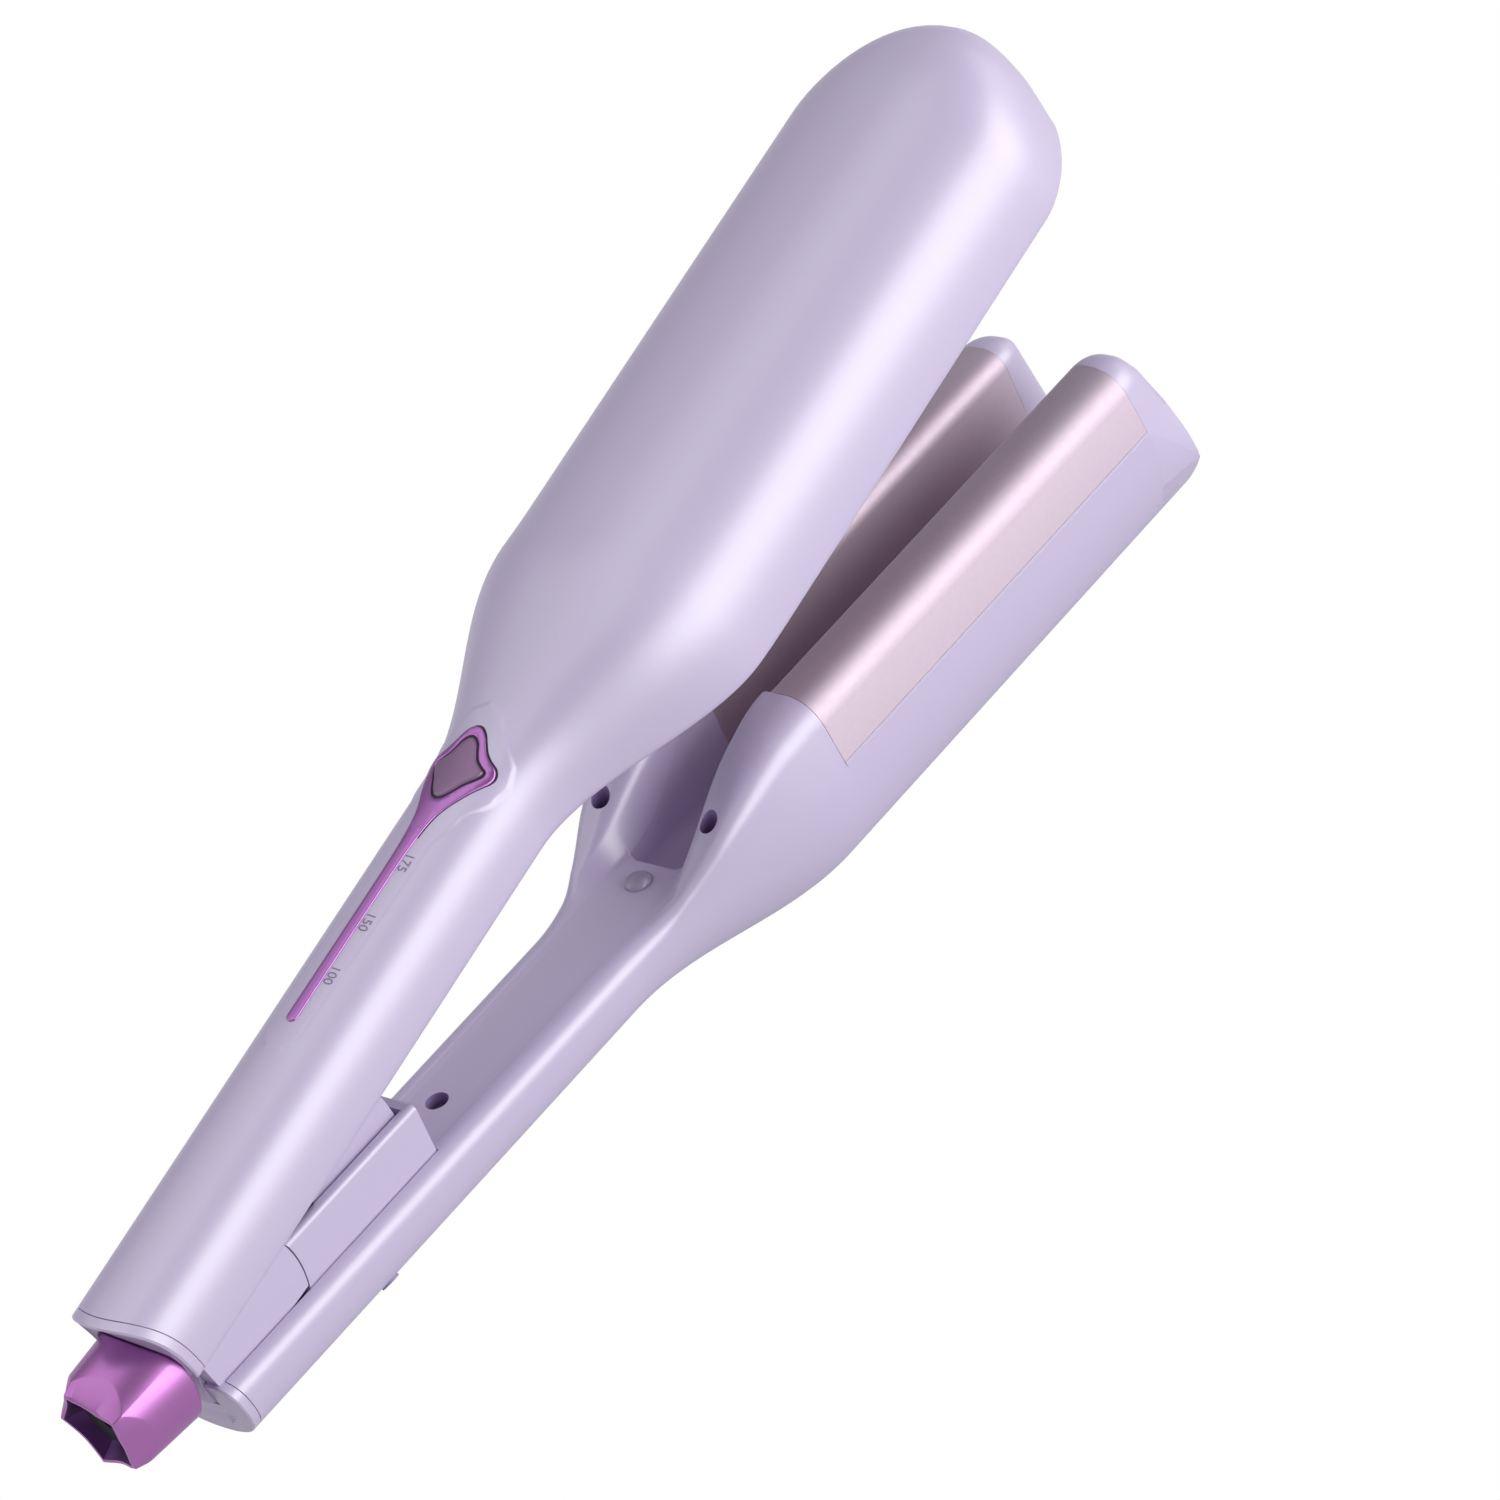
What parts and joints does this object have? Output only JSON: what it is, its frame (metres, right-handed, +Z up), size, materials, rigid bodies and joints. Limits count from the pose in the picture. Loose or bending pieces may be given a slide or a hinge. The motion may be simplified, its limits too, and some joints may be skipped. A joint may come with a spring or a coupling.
{
  "type": "hair waver",
  "caption": "Hair waver with sprung jaws: ridged lower heat plate, deep troughed upper plate, star power button with light strip, and a swivelling cord inlet.",
  "frame": {"origin": "on the table under the middle of the lower jaw's flat belly, on the plane of symmetry", "axes": "+X from the cord end to the jaw tips along the lower arm, +Y to the left seen from the cord end, +Z up; the jaw is open"},
  "size_m": [0.3424, 0.063, 0.1269],
  "materials": {
    "shell_gloss": "pearl lavender, glossy",
    "heat_plate": "rose-mauve anodised, satin",
    "heatproof_plastic": "dark, matt",
    "heater_ceramic": "off-white, matt",
    "steel": "bright zinc",
    "cutout_metal": "plain",
    "magenta_metallic": "magenta metallised, glossy",
    "button_mauve": "mauve metallised, glossy",
    "dark_nylon": "near black, satin",
    "clear_silicone": "translucent",
    "grey_rubber": "matt",
    "lead_sleeve": "braided white sleeve",
    "board_green": "solder mask",
    "led_lens": "milky translucent"
  },
  "bodies": {
    "lower_arm": {"lower_shell": "shell_gloss", "lower_rear_cap": "shell_gloss", "lower_inner_cover": "shell_gloss", "lower_heat_plate": "heat_plate", "lower_plate_carrier": "heatproof_plastic", "lower_heaters": "heater_ceramic", "thermostat": "cutout_metal", "lower_front_cap": "shell_gloss", "spring_housing": "shell_gloss", "hinge_post": "shell_gloss", "hinge_pin": "steel", "tail_cap": "magenta_metallic", "jaw_spring": "steel", "closing_bumper": "clear_silicone", "foot_stud": "grey_rubber", "lower_leads": "lead_sleeve", "lower_screws": "steel"},
    "upper_arm": {"upper_shell": "shell_gloss", "upper_rear_cap": "shell_gloss", "upper_inner_cover": "shell_gloss", "upper_heat_plate": "heat_plate", "upper_plate_carrier": "heatproof_plastic", "upper_heaters": "heater_ceramic", "thermal_fuse": "cutout_metal", "upper_front_cap": "shell_gloss", "upper_hinge_frame": "shell_gloss", "light_wand": "magenta_metallic", "control_board": "board_green", "tact_switch": "dark_nylon", "indicator_leds": "led_lens", "light_pipes": "led_lens", "upper_leads": "lead_sleeve", "upper_screws": "steel"},
    "power_button": {"power_button": "button_mauve"},
    "cord_swivel": {"cord_swivel": "dark_nylon"}
  },
  "joints": [
    {"name": "jaw_hinge", "type": "hinge", "parent": "lower_arm", "child": "upper_arm", "pos_m": [-0.238, 0, 0.031], "axis": [0, 1, 0], "range_deg": [0, 12.5], "stiffness_Nm_per_rad": 3.5, "springref_deg": -11.46, "deforming": ["jaw_spring"]},
    {"name": "power_press", "type": "slide", "parent": "upper_arm", "child": "power_button", "axis": [0.2164, 0, -0.9763], "range_m": [0, 0.0008], "stiffness_N_per_m": 500, "springref_m": -0.002},
    {"name": "cord_turn", "type": "hinge", "parent": "lower_arm", "child": "cord_swivel", "pos_m": [-0.255, 0, 0.0322], "axis": [1, 0, 0], "continuous": true}
  ]
}
